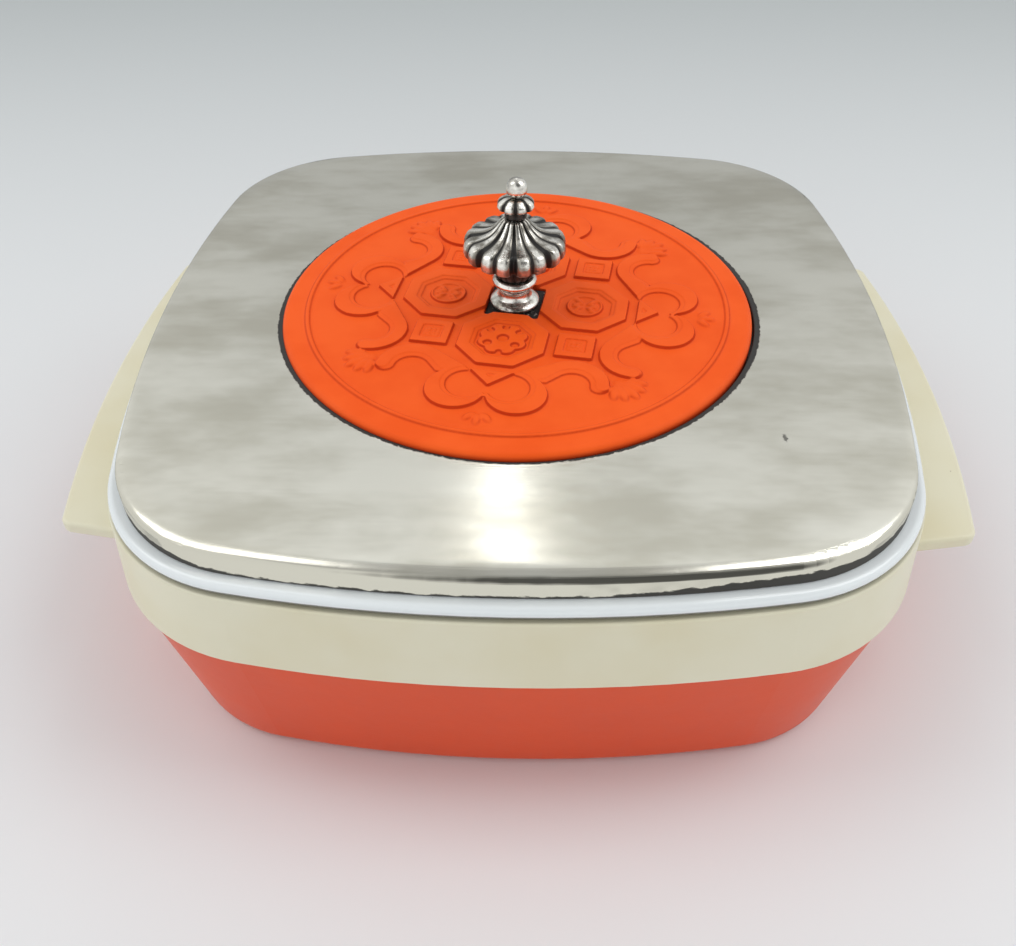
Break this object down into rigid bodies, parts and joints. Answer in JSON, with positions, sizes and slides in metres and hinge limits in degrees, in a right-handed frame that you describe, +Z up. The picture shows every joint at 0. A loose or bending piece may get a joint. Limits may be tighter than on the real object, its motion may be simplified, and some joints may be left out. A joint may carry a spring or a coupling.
{
  "type": "insulated serving casserole",
  "caption": "Square-plan insulated casserole: foam-filled bowl with winged collar, lift-out glazed dish and a metal-covered lid with round ornament inset and fluted finial.",
  "frame": {"origin": "centre of the foot ring on the surface that the casserole stands on", "axes": "+Z up, +X across the two wing handles, +Y towards the back"},
  "size_m": [0.2876, 0.252, 0.1399],
  "materials": {
    "orange_plastic": "satin",
    "ornament_plastic": "matte",
    "cream_plastic": "satin",
    "well_plastic": "satin",
    "white_glaze": "gloss",
    "silver_plate": "satin",
    "antique_silver": "polished",
    "black_sealant": "matte",
    "foam": "matte",
    "steel_hardware": "satin"
  },
  "bodies": {
    "base": {"outer_bowl": "orange_plastic", "filling_plug": "orange_plastic", "bowl_insulation": "foam", "handle_collar": "cream_plastic", "inner_well": "well_plastic"},
    "dish": {"serving_dish": "white_glaze"},
    "lid": {"lid_cover": "silver_plate", "joint_bead": "black_sealant", "lid_insulation": "foam", "lid_liner": "well_plastic", "lid_filling_plug": "well_plastic", "medallion": "ornament_plastic", "finial_pad": "black_sealant", "finial_foot": "antique_silver", "finial_ring": "antique_silver", "finial_body": "antique_silver", "finial_crown": "antique_silver", "finial_ball": "antique_silver", "finial_stud": "steel_hardware", "stud_washer": "steel_hardware", "stud_nut": "steel_hardware"}
  },
  "joints": [
    {"name": "dish_lift", "type": "slide", "parent": "base", "child": "dish", "axis": [0, 0, 1], "range_m": [0, 0.12]},
    {"name": "lid_lift", "type": "slide", "parent": "dish", "child": "lid", "axis": [0, 0, 1], "range_m": [0, 0.1]}
  ]
}
